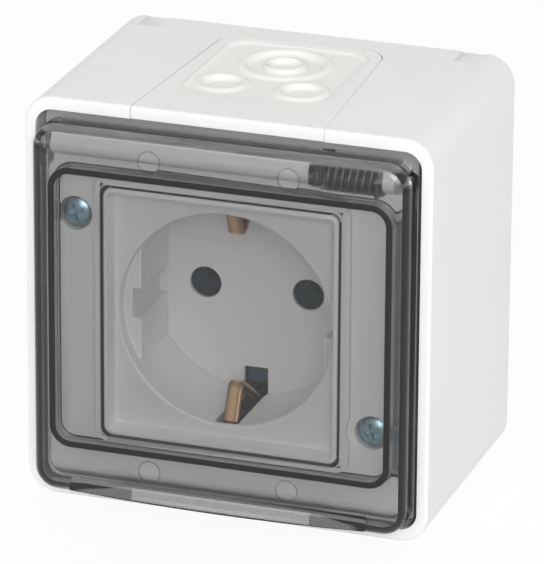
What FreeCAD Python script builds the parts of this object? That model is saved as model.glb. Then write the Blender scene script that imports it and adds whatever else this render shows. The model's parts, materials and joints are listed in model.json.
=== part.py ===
import FreeCAD, Part
import Sketcher
import math
import os

# Surface-mounted weatherproof socket outlet with a spring-closed smoked lid.
# Frame: X to the right, Z up, -Y out of the wall towards the user. The origin is the centre
# of the face that lies on the wall, so a height in the names below is a distance from the wall.

os.makedirs("parts", exist_ok=True)
doc = FreeCAD.newDocument("weatherproof_socket")

# Driving sizes in millimetres
SIZES = {
    # housing
    "housing_width": 75.0,
    "housing_tall": 75.0,
    "housing_depth": 49.0,
    "corner_radius": 5.2,
    "side_wall": 2.0,
    "top_wall": 2.3,
    "ledge_width": 1.2,
    "back_wall": 2.6,
    "edge_rounding": 0.6,
    "post_radius": 3.7,
    "fixing_spacing_x": 46.0,
    "fixing_spacing_z": 56.0,
    "fixing_hole_radius": 2.2,
    "fixing_boss_radius": 4.4,
    "fixing_boss_rise": 2.0,
    "notch_width": 4.7,
    "notch_length": 6.2,
    "notch_depth": 0.35,
    "notch_place": 30.0,
    # cable entries
    "entry_front_width": 35.8,
    "entry_back_width": 31.4,
    "entry_back_margin": 4.8,
    "entry_corner": 6.0,
    "entry_joint": 0.12,
    "window_side": 2.1,
    "window_front": 38.6,
    "window_back": 7.2,
    "window_corner": 5.0,
    "window_lip": 1.3,
    "membrane_sink": 0.65,
    "membrane_skin": 0.9,
    "large_ring_radius": 7.75,
    "inner_ring_radius": 3.2,
    "small_ring_radius": 4.25,
    "bead_radius": 0.9,
    "bead_proud": 0.5,
    "large_ring_height": 17.6,
    "small_ring_height": 30.5,
    "small_ring_place": 7.5,
    # front plate
    "plate_clearance": 0.15,
    "plate_flange": 1.6,
    "moat_depth": 4.8,
    "deck_proud": 0.8,
    "deck_half_width": 32.4,
    "deck_below": 33.0,
    "deck_above": 27.3,
    "deck_corner": 3.0,
    "deck_wall": 2.0,
    "deck_foot_rounding": 2.5,
    "seal_thickness": 0.8,
    "collar_proud": 2.8,
    "collar_half_width": 23.5,
    "collar_below": 25.05,
    "collar_above": 25.0,
    "collar_wall": 1.25,
    "collar_corner": 2.5,
    "web_thickness": 1.4,
    "web_clearance": 0.35,
    # plate screws
    "screw_place_x": 27.5,
    "screw_place_z": 17.0,
    "screw_head_radius": 2.65,
    "screw_head_height": 1.9,
    "screw_shank_radius": 1.5,
    "screw_shank_length": 16.0,
    "screw_sink": 0.5,
    "counterbore_radius": 3.15,
    "driver_radius": 4.5,
    # socket insert
    "insert_gap": 0.55,
    "insert_proud": 2.9,
    "insert_frame": 5.0,
    "insert_recess": 3.0,
    "insert_rim": 0.8,
    "insert_corner": 1.8,
    "well_radius": 19.75,
    "well_depth": 16.8,
    "well_wall": 1.8,
    "well_floor": 2.2,
    "well_chamfer": 0.3,
    "guide_half_gap": 16.5,
    "guide_half_tall": 10.9,
    "guide_step": 2.8,
    "guide_groove": 5.6,
    "guide_groove_depth": 1.6,
    "pin_spacing": 19.0,
    "pin_hole_radius": 2.9,
    "slot_width": 4.4,
    "slot_inner": 14.9,
    "slot_front": 1.2,
    # contacts
    "clip_width": 2.8,
    "clip_thickness": 0.9,
    "clip_bend": 1.2,
    "clip_reach": 14.1,
    "clip_root": 20.9,
    "clip_root_depth": 16.6,
    "clip_peak_depth": 6.2,
    "clip_tip_depth": 3.4,
    "carrier_radius": 20.3,
    "carrier_thickness": 9.0,
    "sleeve_bore": 2.45,
    "sleeve_wall": 0.6,
    "sleeve_gap": 0.1,
    "sleeve_sink": 5.0,
    "strip_thickness": 0.9,
    "strip_width": 5.0,
    "clamp_side": 7.0,
    "clamp_drop": 17.0,
    "clamp_bore": 1.7,
    "clamp_screw_radius": 1.4,
    "clamp_screw_head": 2.2,
    "clamp_screw_rise": 1.5,
    "carrier_screw_radius": 1.25,
    "carrier_screw_head": 2.1,
    "carrier_screw_rise": 1.4,
    "carrier_screw_bite": 6.0,
    "carrier_screw_x": 17.8,
    "carrier_screw_z": 7.0,
    "hook_reach": 1.1,
    "insert_play": 0.05,
    "hook_tall": 1.4,
    # lid, its hinge and its spring
    "lid_half_width": 34.6,
    "lid_above": 33.9,
    "lid_below": 34.9,
    "lid_corner": 4.2,
    "lid_proud": 5.3,
    "lid_front_wall": 1.8,
    "lid_side_wall": 1.6,
    "lid_reach": 0.6,
    "lid_edge_rounding": 2.2,
    "lip_half_width": 27.6,
    "lip_below": 35.3,
    "lip_rise": 2.6,
    "lip_edge": 0.9,
    "lip_projection": 0.9,
    "ejector_radius": 2.0,
    "ejector_depth": 0.2,
    "ejector_x": 12.8,
    "ejector_z": 29.1,
    "rib_half_width": 31.65,
    "rib_above": 26.3,
    "rib_below": 26.4,
    "rib_width": 1.15,
    "rib_corner": 4.0,
    "rib_clearance": 0.05,
    "gasket_margin": 0.15,
    "gasket_play": 0.05,
    "gasket_thickness": 0.8,
    "hinge_above": 29.5,
    "hinge_front": 0.7,
    "ear_radius": 2.0,
    "ear_clearance": 0.3,
    "pin_radius": 1.0,
    "pin_running": 0.07,
    "pin_tip_gap": 0.2,
    "ear_wall": 0.6,
    "barrel_radius": 2.0,
    "barrel_rise": 0.4,
    "barrel_end": 16.0,
    "lug_inset": 1.0,
    "lug_width": 2.0,
    "knuckle_start": 16.4,
    "knuckle_width": 1.2,
    "knuckle_below": 0.8,
    "pin_bite": 4.0,
    "spring_room": 0.25,
    "spring_wire": 0.6,
    "spring_mean_radius": 2.0,
    "spring_turns": 8.0,
    "spring_start": 18.2,
    "spring_end": 28.4,
}


class Term:
    """A size that knows its value and how the sheet writes it."""

    def __init__(self, value, text):
        self.value = float(value)
        self.text = text

    def __float__(self):
        return self.value

    def __neg__(self):
        return Term(-self.value, "-(%s)" % self.text)

    def __add__(self, other):
        return joined(self, "+", other)

    def __radd__(self, other):
        return joined(other, "+", self)

    def __sub__(self, other):
        return joined(self, "-", other)

    def __rsub__(self, other):
        return joined(other, "-", self)

    def __mul__(self, other):
        return joined(self, "*", other)

    def __rmul__(self, other):
        return joined(other, "*", self)

    def __truediv__(self, other):
        return joined(self, "/", other)


def term(value):
    return value if isinstance(value, Term) else Term(value, "%.6f" % value)


def joined(left, sign, right):
    left, right = term(left), term(right)
    values = {"+": left.value + right.value, "-": left.value - right.value,
              "*": left.value * right.value,
              "/": left.value / right.value if right.value else 0.0}
    return Term(values[sign], "(%s %s %s)" % (left.text, sign, right.text))


class Sheet:
    """The sheet of driving sizes, read by name."""

    def __init__(self, sizes):
        self.cells = doc.addObject("Spreadsheet::Sheet", "Sizes")
        for row, (name, value) in enumerate(sizes.items(), start=1):
            self.cells.set("A%d" % row, name)
            self.cells.set("B%d" % row, str(value))
            self.cells.setAlias("B%d" % row, name)
        doc.recompute()

    def __getattr__(self, name):
        return Term(self.cells.get(name), "Sizes." + name)


size = Sheet(SIZES)
nodes = {}


def bind(item, path, value):
    item.setExpression(path, term(value).text)


def keep(label, item):
    item.Label = label
    nodes[label] = item
    return item


def vector(x, y, z):
    return FreeCAD.Vector(float(x), float(y), float(z))


# Sketches on the planes of a body

def origin_plane(owner, role):
    return next(item for item in owner.Origin.OriginFeatures if item.Role == role)


def sketch(owner, name, offset, role="XZ_Plane"):
    item = owner.newObject("Sketcher::SketchObject", name)
    item.AttachmentSupport = [(origin_plane(owner, role), "")]
    item.MapMode = "FlatFace"
    bind(item, "AttachmentOffset.Base.z", offset)
    return item


def dimension(item, kind, geometry, point, value):
    """Hold one coordinate of a point at a signed distance from the sketch origin."""
    value = term(value)
    if value.value < 0:
        index = item.addConstraint(Sketcher.Constraint(kind, geometry, point, -1, 1, -value.value))
        bind(item, "Constraints[%d]" % index, -value)
    else:
        index = item.addConstraint(Sketcher.Constraint(kind, -1, 1, geometry, point, value.value))
        bind(item, "Constraints[%d]" % index, value)


def rounded_rectangle(item, left, right, bottom, top, radius):
    """Four sides joined by four equal arcs, each side held from the sketch origin."""
    a, b, c, d, r = (float(value) for value in (left, right, bottom, top, radius))
    corners = [(b - r, c + r, -90), (b - r, d - r, 0), (a + r, d - r, 90), (a + r, c + r, 180)]
    sides = [((a + r, c), (b - r, c)), ((b, c + r), (b, d - r)),
             ((b - r, d), (a + r, d)), ((a, d - r), (a, c + r))]
    first = item.GeometryCount
    for start, end in sides:
        item.addGeometry(Part.LineSegment(vector(*start, 0), vector(*end, 0)))
    for x, y, angle in corners:
        circle = Part.Circle(vector(x, y, 0), vector(0, 0, 1), r)
        item.addGeometry(Part.ArcOfCircle(circle, math.radians(angle), math.radians(angle + 90)))
    for index in range(4):
        side, arc = first + index, first + 4 + index
        item.addConstraint(Sketcher.Constraint("Tangent", side, 2, arc, 1))
        item.addConstraint(Sketcher.Constraint("Tangent", arc, 2, first + (index + 1) % 4, 1))
        item.addConstraint(Sketcher.Constraint("Vertical" if index % 2 else "Horizontal", side))
        if index:
            item.addConstraint(Sketcher.Constraint("Equal", first + 4, arc))
    index = item.addConstraint(Sketcher.Constraint("Radius", first + 4, r))
    bind(item, "Constraints[%d]" % index, radius)
    dimension(item, "DistanceY", first, 1, bottom)
    dimension(item, "DistanceX", first + 1, 1, right)
    dimension(item, "DistanceY", first + 2, 1, top)
    dimension(item, "DistanceX", first + 3, 1, left)


def circles(item, radius, places):
    for x, y in places:
        x, y = term(x), term(y)
        index = item.addGeometry(Part.Circle(vector(x, y, 0), vector(0, 0, 1), float(radius)))
        held = item.addConstraint(Sketcher.Constraint("Radius", index, float(radius)))
        bind(item, "Constraints[%d]" % held, radius)
        if x.value == 0 and y.value == 0:
            item.addConstraint(Sketcher.Constraint("Coincident", index, 3, -1, 1))
            continue
        dimension(item, "DistanceX", index, 3, x)
        dimension(item, "DistanceY", index, 3, y)


def pad(owner, name, profile, length, reverse=False):
    item = owner.newObject("PartDesign::Pad", name)
    item.Profile = profile
    bind(item, "Length", length)
    item.Reversed = reverse
    profile.Visibility = False
    return item


def pocket(owner, name, profile, length, reverse=False):
    """A pocket that has to take material away."""
    doc.recompute()
    before = owner.Shape.Volume
    item = owner.newObject("PartDesign::Pocket", name)
    item.Profile = profile
    bind(item, "Length", length)
    item.Reversed = reverse
    doc.recompute()
    if owner.Shape.Volume > before - 1e-6:
        raise ValueError("%s takes nothing away" % name)
    return item


def round_edges(owner, name, radius, wanted, kind="PartDesign::Fillet"):
    """Round the edges of a body whose middle point passes a test."""
    doc.recompute()
    base = owner.Tip
    names = []
    for index, edge in enumerate(base.Shape.Edges, start=1):
        middle = edge.valueAt((edge.FirstParameter + edge.LastParameter) / 2)
        if wanted(edge, middle):
            names.append("Edge%d" % index)
    if not names:
        raise ValueError("%s finds no edge" % name)
    item = owner.newObject(kind, name)
    item.Base = (base, names)
    bind(item, "Radius" if kind.endswith("Fillet") else "Size", radius)
    return item


# Plain solids bound to the sheet

def block(name, left, right, low, high, bottom, top):
    """A block between two heights over the wall."""
    item = doc.addObject("Part::Box", name)
    bind(item, "Length", term(right) - left)
    bind(item, "Width", term(high) - low)
    bind(item, "Height", term(top) - bottom)
    bind(item, "Placement.Base.x", left)
    bind(item, "Placement.Base.y", -term(high))
    bind(item, "Placement.Base.z", bottom)
    return item


def rod(name, radius, x, z, low, high):
    """A round rod that stands out of the wall between two heights."""
    item = doc.addObject("Part::Cylinder", name)
    bind(item, "Radius", radius)
    bind(item, "Height", term(high) - low)
    item.Placement = FreeCAD.Placement(vector(0, 0, 0), FreeCAD.Rotation(vector(1, 0, 0), 90))
    bind(item, "Placement.Base.x", x)
    bind(item, "Placement.Base.y", -term(low))
    bind(item, "Placement.Base.z", z)
    return item


def cross_rod(name, radius, left, right, height, z):
    """A round rod along X at a height over the wall."""
    item = doc.addObject("Part::Cylinder", name)
    bind(item, "Radius", radius)
    bind(item, "Height", term(right) - left)
    item.Placement = FreeCAD.Placement(vector(0, 0, 0), FreeCAD.Rotation(vector(0, 1, 0), 90))
    bind(item, "Placement.Base.x", left)
    bind(item, "Placement.Base.y", -term(height))
    bind(item, "Placement.Base.z", z)
    return item


def upright(name, radius, x, height, bottom, top):
    """A round rod along Z."""
    item = doc.addObject("Part::Cylinder", name)
    bind(item, "Radius", radius)
    bind(item, "Height", term(top) - bottom)
    bind(item, "Placement.Base.x", x)
    bind(item, "Placement.Base.y", -term(height))
    bind(item, "Placement.Base.z", bottom)
    return item


def joined_solids(name, items):
    item = doc.addObject("Part::MultiFuse", name)
    item.Shapes = items
    item.Refine = True
    return item


def without(name, base, tools):
    tool = tools[0] if len(tools) == 1 else joined_solids(name + "_tools", tools)
    item = doc.addObject("Part::Cut", name)
    item.Base = base
    item.Tool = tool
    item.Refine = True
    return item


def overlap(name, first, second):
    item = doc.addObject("Part::Common", name)
    item.Base = first
    item.Tool = second
    return item


def plain_feature(name, shape):
    item = doc.addObject("Part::Feature", name)
    item.Shape = shape
    return item


def bent_strip(points, bend, thickness, left, right):
    """A strip bent along points of the YZ plane, with rounded bends, as wide as left to right."""
    sides = {1: [], -1: []}
    ends = {1: [], -1: []}
    across = vector(1, 0, 0)
    for sign in sides:
        first = (points[1] - points[0]).normalize()
        at = points[0] + across.cross(first) * (sign * thickness / 2)
        ends[sign].append(at)
        for before, corner, after in zip(points, points[1:], points[2:]):
            back = (before - corner).normalize()
            ahead = (after - corner).normalize()
            half = back.getAngle(ahead) / 2
            reach = bend / math.tan(half)
            inward = (back + ahead).normalize()
            centre = corner + inward * (bend / math.sin(half))
            start = corner + back * reach + across.cross(-back) * (sign * thickness / 2)
            end = corner + ahead * reach + across.cross(ahead) * (sign * thickness / 2)
            middle = centre - inward * start.distanceToPoint(centre)
            sides[sign].append(Part.LineSegment(at, start).toShape())
            sides[sign].append(Part.Arc(start, middle, end).toShape())
            at = end
        last = (points[-1] - points[-2]).normalize()
        end = points[-1] + across.cross(last) * (sign * thickness / 2)
        sides[sign].append(Part.LineSegment(at, end).toShape())
        ends[sign].append(end)
    caps = [Part.LineSegment(ends[1][index], ends[-1][index]).toShape() for index in (0, 1)]
    outline = Part.sortEdges(sides[1] + sides[-1] + caps)[0]
    section = Part.Face(Part.Wire(outline))
    section.translate(vector(left, 0, 0))
    return section.extrude(vector(float(right) - float(left), 0, 0))


# Heights over the wall and half sizes that several pieces share

rim = size.housing_depth
half_width = size.housing_width / 2
half_tall = size.housing_tall / 2
inner_half_width = half_width - size.side_wall
inner_half_tall = half_tall - size.top_wall
inner_corner = size.corner_radius - size.side_wall
deck_front = rim + size.deck_proud
moat_floor = rim - size.moat_depth
plate_back = moat_floor - size.plate_flange
ledge = plate_back - size.seal_thickness
floor_front = rim - size.well_depth
floor_back = floor_front - size.well_floor
insert_front = rim + size.insert_proud
insert_face = insert_front - size.insert_recess
insert_seat = insert_front - size.insert_frame
carrier_back = floor_back - size.carrier_thickness
lid_front = rim + size.lid_proud
lid_inside = lid_front - size.lid_front_wall
hinge_height = rim + size.hinge_front
hinge_z = size.hinge_above
barrel_z = hinge_z + size.barrel_rise
barrel_side = size.deck_half_width - size.lug_inset
window_half = size.entry_back_width / 2 - size.window_side
screw_places = [(-size.screw_place_x, size.screw_place_z), (size.screw_place_x, -size.screw_place_z)]
carrier_screw_places = [(size.carrier_screw_x, size.carrier_screw_z),
                        (-size.carrier_screw_x, -size.carrier_screw_z)]


def make_housing():
    """Moulded box: rim, seal ledge, back wall with fixing bosses, two screw posts, two cable
    entries open to the rim, and knock-out notches at the rear corners."""
    body = doc.addObject("PartDesign::Body", "housing")
    outline = sketch(body, "housing_outline", 0)
    rounded_rectangle(outline, -half_width, half_width, -half_tall, half_tall, size.corner_radius)
    pad(body, "housing_block", outline, rim)
    round_edges(body, "housing_edges", size.edge_rounding,
                lambda edge, middle: min(abs(middle.y), abs(middle.y + rim.value)) < 1e-3)
    mouth = sketch(body, "mouth_outline", rim)
    rounded_rectangle(mouth, -inner_half_width, inner_half_width, -inner_half_tall, inner_half_tall,
                      inner_corner)
    pocket(body, "mouth", mouth, rim - ledge)
    hollow = sketch(body, "hollow_outline", ledge)
    hollow_half = inner_half_width - size.ledge_width
    hollow_tall = inner_half_tall - size.ledge_width
    rounded_rectangle(hollow, -hollow_half, hollow_half, -hollow_tall, hollow_tall,
                      inner_corner - size.ledge_width)
    pocket(body, "hollow", hollow, ledge - size.back_wall)
    posts = sketch(body, "post_circles", 0)
    circles(posts, size.post_radius, screw_places)
    pad(body, "screw_posts", posts, plate_back)
    pilots = sketch(body, "pilot_circles", plate_back)
    circles(pilots, size.screw_shank_radius, screw_places)
    pocket(body, "pilot_holes", pilots, size.screw_shank_length)
    spots = [(size.fixing_spacing_x * side_x / 2, size.fixing_spacing_z * side_z / 2)
             for side_x in (-1, 1) for side_z in (-1, 1)]
    bosses = sketch(body, "boss_circles", 0)
    circles(bosses, size.fixing_boss_radius, spots)
    pad(body, "fixing_bosses", bosses, size.back_wall + size.fixing_boss_rise)
    holes = sketch(body, "fixing_circles", size.back_wall + size.fixing_boss_rise)
    circles(holes, size.fixing_hole_radius, spots)
    pocket(body, "fixing_holes", holes, size.back_wall + size.fixing_boss_rise)
    doc.recompute()
    tools = []
    for side, name in ((1, "top"), (-1, "bottom")):
        tools.append(entry_blank(name + "_entry_recess", side, rim + 1, 0, size.top_wall))
        tools.append(entry_window(name + "_entry_mouth", side, -size.window_lip,
                                  size.top_wall - 1, size.top_wall + size.ledge_width + 1))
        for across in (-1, 1):
            place = size.notch_place * across
            outer = half_tall * side
            inner = (half_tall - size.notch_depth) * side
            tools.append(block("%s_notch_%d" % (name, across + 1), place - size.notch_width / 2,
                               place + size.notch_width / 2, 0, size.notch_length,
                               inner if side > 0 else outer, outer if side > 0 else inner))
    return keep("housing", without("housing_cut", body, tools))


def turned(item, side):
    """Turn a piece of the top entry half round the Y axis, down to the bottom entry."""
    if side < 0:
        item.Placement = FreeCAD.Placement(vector(0, 0, 0), FreeCAD.Rotation(vector(0, 1, 0), 180))
    return item


def entry_blank(name, side, front, gap, thickness):
    """A slab in the outline of the entry plate: tapering sides and round rear corners."""
    body = doc.addObject("PartDesign::Body", name)
    item = sketch(body, name + "_outline", half_tall, "XY_Plane")
    front_half = size.entry_front_width / 2 - gap
    back_half = size.entry_back_width / 2 - gap
    back = size.entry_back_margin + gap
    corner = size.entry_corner
    a, b, r = float(front_half), float(back_half), float(corner)
    low, high = -float(front), -float(back)
    lean = math.atan2(a - b, high - low)
    cx = b - r
    cy = high - r
    touch = (cx + r * math.cos(lean), cy + r * math.sin(lean))
    item.addGeometry(Part.LineSegment(vector(-a, low, 0), vector(a, low, 0)))
    item.addGeometry(Part.LineSegment(vector(a, low, 0), vector(*touch, 0)))
    item.addGeometry(Part.LineSegment(vector(cx, high, 0), vector(-cx, high, 0)))
    item.addGeometry(Part.LineSegment(vector(-touch[0], touch[1], 0), vector(-a, low, 0)))
    round_right = Part.Circle(vector(cx, cy, 0), vector(0, 0, 1), r)
    round_left = Part.Circle(vector(-cx, cy, 0), vector(0, 0, 1), r)
    item.addGeometry(Part.ArcOfCircle(round_right, lean, math.pi / 2))
    item.addGeometry(Part.ArcOfCircle(round_left, math.pi / 2, math.pi - lean))
    item.addConstraint(Sketcher.Constraint("Coincident", 0, 2, 1, 1))
    item.addConstraint(Sketcher.Constraint("Coincident", 3, 2, 0, 1))
    item.addConstraint(Sketcher.Constraint("Tangent", 1, 2, 4, 1))
    item.addConstraint(Sketcher.Constraint("Tangent", 4, 2, 2, 1))
    item.addConstraint(Sketcher.Constraint("Tangent", 2, 2, 5, 1))
    item.addConstraint(Sketcher.Constraint("Tangent", 5, 2, 3, 1))
    item.addConstraint(Sketcher.Constraint("Horizontal", 2))
    item.addConstraint(Sketcher.Constraint("Equal", 4, 5))
    item.addConstraint(Sketcher.Constraint("Symmetric", 0, 1, 0, 2, -2))
    held = item.addConstraint(Sketcher.Constraint("Radius", 4, r))
    bind(item, "Constraints[%d]" % held, corner)
    dimension(item, "DistanceX", 0, 2, front_half)
    dimension(item, "DistanceY", 0, 2, -term(front))
    dimension(item, "DistanceY", 2, 1, -back)
    dimension(item, "DistanceX", 4, 3, back_half - corner)
    dimension(item, "DistanceX", 5, 3, corner - back_half)
    pad(body, name + "_slab", item, thickness, reverse=True)
    doc.recompute()
    return turned(body, side)


def entry_window(name, side, grow, shallow, deep):
    """The rounded window of an entry, between two depths under the outer face."""
    body = doc.addObject("PartDesign::Body", name)
    item = sketch(body, name + "_outline", half_tall - shallow, "XY_Plane")
    half = window_half + grow
    rounded_rectangle(item, -half, half, -(size.window_front + grow), -(size.window_back - grow),
                      size.window_corner + grow)
    pad(body, name + "_slab", item, term(deep) - shallow, reverse=True)
    doc.recompute()
    return turned(body, side)


def make_entry_plate(label, side):
    """Hard cover of a cable entry, slid in flush from the rim, with a window for the membrane."""
    slab = entry_blank(label + "_slab", side, rim, size.entry_joint, size.top_wall)
    round_edges(slab, label + "_edge", size.edge_rounding,
                lambda edge, middle: abs(middle.y + rim.value) < 1e-3
                and abs(middle.z - half_tall.value) < 1e-3)
    doc.recompute()
    window = entry_window(label + "_window", side, 0, -1, size.top_wall + 1)
    return keep(label, without(label + "_cut", slab, [window]))


def make_membrane(label, side):
    """Soft entry membrane: a sunk skin with one double ring and two small rings to cut through."""
    body = doc.addObject("PartDesign::Body", label + "_skin")
    skin = sketch(body, label + "_outline", half_tall - size.membrane_sink, "XY_Plane")
    half = window_half
    rounded_rectangle(skin, -half, half, -size.window_front, -size.window_back, size.window_corner)
    pad(body, label + "_slab", skin, size.top_wall - size.membrane_sink, reverse=True)
    doc.recompute()
    surface = half_tall - size.membrane_sink
    dishes = [(0, size.large_ring_height, size.large_ring_radius),
              (-size.small_ring_place, size.small_ring_height, size.small_ring_radius),
              (size.small_ring_place, size.small_ring_height, size.small_ring_radius)]
    beads = dishes + [(0, size.large_ring_height, size.inner_ring_radius)]
    tools = []
    for index, (x, height, radius) in enumerate(dishes):
        tools.append(upright("%s_dish_%d" % (label, index), radius - size.bead_radius * 0.5, x,
                             height, half_tall - size.top_wall - 1,
                             surface - size.membrane_skin))
    hollow = without(label + "_hollow", body, tools)
    rings = [hollow]
    for index, (x, height, radius) in enumerate(beads):
        ring = doc.addObject("Part::Torus", "%s_ring_%d" % (label, index))
        bind(ring, "Radius1", radius)
        bind(ring, "Radius2", size.bead_radius)
        bind(ring, "Placement.Base.x", x)
        bind(ring, "Placement.Base.y", -height)
        bind(ring, "Placement.Base.z", surface + size.bead_proud - size.bead_radius)
        rings.append(ring)
    return keep(label, turned(joined_solids(label + "_fuse", rings), side))


def ring_outlines(item, margin):
    """The two outlines of the lid's sealing rib, moved apart by a margin."""
    out, wall = size.rib_half_width + margin, size.rib_width + margin * 2
    below, above = size.rib_below + margin, size.rib_above + margin
    corner = size.rib_corner + margin
    rounded_rectangle(item, -out, out, -below, above, corner)
    rounded_rectangle(item, wall - out, out - wall, wall - below, above - wall, corner - wall)


def make_front_plate():
    """Moulded front: moat that the lid's walls drop into, raised deck with a gasket groove, collar
    round the insert, counterbored screw places, and the barrel and lug of the hinge."""
    body = doc.addObject("PartDesign::Body", "front_plate_shell")
    edge_x = inner_half_width - size.plate_clearance
    edge_z = inner_half_tall - size.plate_clearance
    outline = sketch(body, "flange_outline", plate_back)
    rounded_rectangle(outline, -edge_x, edge_x, -edge_z, edge_z, inner_corner - size.plate_clearance)
    pad(body, "flange", outline, size.plate_flange)
    deck = sketch(body, "deck_outline", moat_floor)
    half = size.deck_half_width
    rounded_rectangle(deck, -half, half, -size.deck_below, size.deck_above, size.deck_corner)
    pad(body, "deck", deck, deck_front - moat_floor)
    collar = sketch(body, "collar_outline", deck_front)
    out = size.collar_half_width
    rounded_rectangle(collar, -out, out, -size.collar_below, size.collar_above, size.collar_corner)
    pad(body, "collar", collar, rim + size.collar_proud - deck_front)
    opening = sketch(body, "opening_outline", rim + size.collar_proud)
    wall = size.collar_wall
    rounded_rectangle(opening, -(out - wall), out - wall, -(size.collar_below - wall),
                      size.collar_above - wall, size.collar_corner - wall * 0.6)
    pocket(body, "opening", opening, rim + size.collar_proud - plate_back)
    hollow = sketch(body, "deck_hollow_outline", plate_back)
    inner = half - size.deck_wall
    rounded_rectangle(hollow, -inner, inner, -(size.deck_below - size.deck_wall),
                      size.collar_above - wall / 2, size.deck_corner - size.deck_wall / 2)
    pocket(body, "deck_hollow", hollow, deck_front - size.deck_wall - plate_back, reverse=True)
    skirt = sketch(body, "skirt_outline", plate_back)
    rounded_rectangle(skirt, -out, out, -size.collar_below, size.collar_above, size.collar_corner)
    rounded_rectangle(skirt, -(out - wall), out - wall, -(size.collar_below - wall),
                      size.collar_above - wall, size.collar_corner - wall * 0.6)
    pad(body, "skirt", skirt, deck_front - plate_back)
    web = sketch(body, "seat_web_outline", insert_seat - size.web_thickness)
    rounded_rectangle(web, -(out - wall / 2), out - wall / 2, -(size.collar_below - wall / 2),
                      size.collar_above - wall / 2, size.collar_corner - wall / 2)
    circles(web, size.well_radius + size.well_wall + size.web_clearance, [(0, 0)])
    pad(body, "seat_web", web, size.web_thickness)
    bosses = sketch(body, "plate_boss_circles", plate_back)
    circles(bosses, size.counterbore_radius + 1, screw_places)
    pad(body, "plate_bosses", bosses, deck_front - plate_back)
    groove = sketch(body, "groove_outline", deck_front)
    ring_outlines(groove, size.gasket_margin + size.gasket_play)
    pocket(body, "gasket_groove", groove, size.gasket_thickness)
    bores = sketch(body, "counterbore_circles", deck_front)
    circles(bores, size.counterbore_radius, screw_places)
    pocket(body, "counterbores", bores, size.screw_sink + size.screw_head_height)
    shanks = sketch(body, "clearance_circles", deck_front)
    circles(shanks, size.screw_shank_radius + 0.2, screw_places)
    pocket(body, "clearance_holes", shanks, deck_front - plate_back)
    doc.recompute()
    solids = [body]
    for name, left, right in (("barrel", -barrel_side, size.barrel_end),
                              ("lug", barrel_side - size.lug_width, barrel_side)):
        solids.append(cross_rod(name, size.barrel_radius, left, right, hinge_height, barrel_z))
        solids.append(block(name + "_web", left, right, hinge_height - size.barrel_radius,
                            deck_front, size.deck_above - size.deck_wall / 4, barrel_z))
    shell = joined_solids("front_plate_solid", solids)
    tools = [rod("driver_room_%d" % index, size.driver_radius, x, z, deck_front,
                 rim + size.collar_proud + 1) for index, (x, z) in enumerate(screw_places)]
    tools.append(cross_rod("lug_bore", size.pin_radius, -size.lid_half_width, size.lid_half_width,
                           hinge_height, hinge_z))
    spring_bottom = hinge_z - size.spring_mean_radius - size.spring_wire / 2 - size.spring_room
    tools.append(block("spring_pocket", size.spring_start - size.spring_wire, size.spring_end
                       + size.spring_wire, moat_floor, deck_front + 1, spring_bottom,
                       size.deck_above + 1))
    foot = size.deck_below - size.deck_foot_rounding
    low = deck_front - size.deck_foot_rounding
    foot_block = block("foot_block", -half_width, half_width, low, deck_front + 1,
                       -(size.deck_below + 1), -foot)
    foot_rod = cross_rod("foot_rod", size.deck_foot_rounding, -half_width, half_width, low, -foot)
    tools.append(without("foot_round", foot_block, [foot_rod]))
    return keep("front_plate", without("front_plate_cut", shell, tools))


def make_plate_seal():
    """Flat rubber ring between the front plate and the ledge of the housing."""
    body = doc.addObject("PartDesign::Body", "front_plate_seal")
    outline = sketch(body, "seal_outline", ledge)
    edge_x = inner_half_width - size.plate_clearance
    edge_z = inner_half_tall - size.plate_clearance
    hole_x = inner_half_width - size.ledge_width
    hole_z = inner_half_tall - size.ledge_width
    rounded_rectangle(outline, -edge_x, edge_x, -edge_z, edge_z, inner_corner - size.plate_clearance)
    rounded_rectangle(outline, -hole_x, hole_x, -hole_z, hole_z, inner_corner - size.ledge_width)
    pad(body, "seal_ring", outline, size.seal_thickness)
    return keep("front_plate_seal", body)


def screw_solid(head_radius, head_height, shank_radius, shank_length):
    """A pan-head screw along its own Z axis with the head's seat at zero and a cross recess."""
    crown = head_height * 0.35
    rise = head_height - crown
    profile = [vector(0, 0, -shank_length), vector(shank_radius * 0.5, 0, -shank_length),
               vector(shank_radius, 0, -shank_length + shank_radius * 0.9),
               vector(shank_radius, 0, 0), vector(head_radius, 0, 0),
               vector(head_radius, 0, rise)]
    edges = [Part.LineSegment(*pair).toShape() for pair in zip(profile, profile[1:])]
    top = vector(0, 0, head_height)
    shoulder = vector(head_radius * 0.72, 0, rise + crown * 0.72)
    edges.append(Part.Arc(profile[-1], shoulder, top).toShape())
    edges.append(Part.LineSegment(top, profile[0]).toShape())
    solid = Part.Face(Part.Wire(edges)).revolve(vector(0, 0, 0), vector(0, 0, 1), 360)
    arm, width, depth = head_radius * 1.16, head_radius * 0.3, head_height * 0.62
    for quarter in (0, 90):
        slot = Part.makeBox(arm, width, depth + 1, vector(-arm / 2, -width / 2, head_height - depth))
        slot.rotate(vector(0, 0, 0), vector(0, 0, 1), quarter + 20)
        solid = solid.cut(slot)
    return solid


def faced_out(shape, x, height, z):
    """Turn a solid made along Z so that it stands out of the wall at a place."""
    shape.rotate(vector(0, 0, 0), vector(1, 0, 0), 90)
    shape.translate(vector(x, -float(height), z))
    return shape


def make_plate_screws():
    """The two cross-recess screws that hold the front plate to the posts of the housing."""
    seat = deck_front - size.screw_sink - size.screw_head_height
    reach = float(seat - plate_back + size.screw_shank_length) - 1.0
    screws = []
    for x, z in screw_places:
        solid = screw_solid(float(size.screw_head_radius), float(size.screw_head_height),
                            float(size.screw_shank_radius), reach)
        screws.append(faced_out(solid, x, seat, z))
    return keep("plate_screws", plain_feature("plate_screws", Part.makeCompound(screws)))


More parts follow.
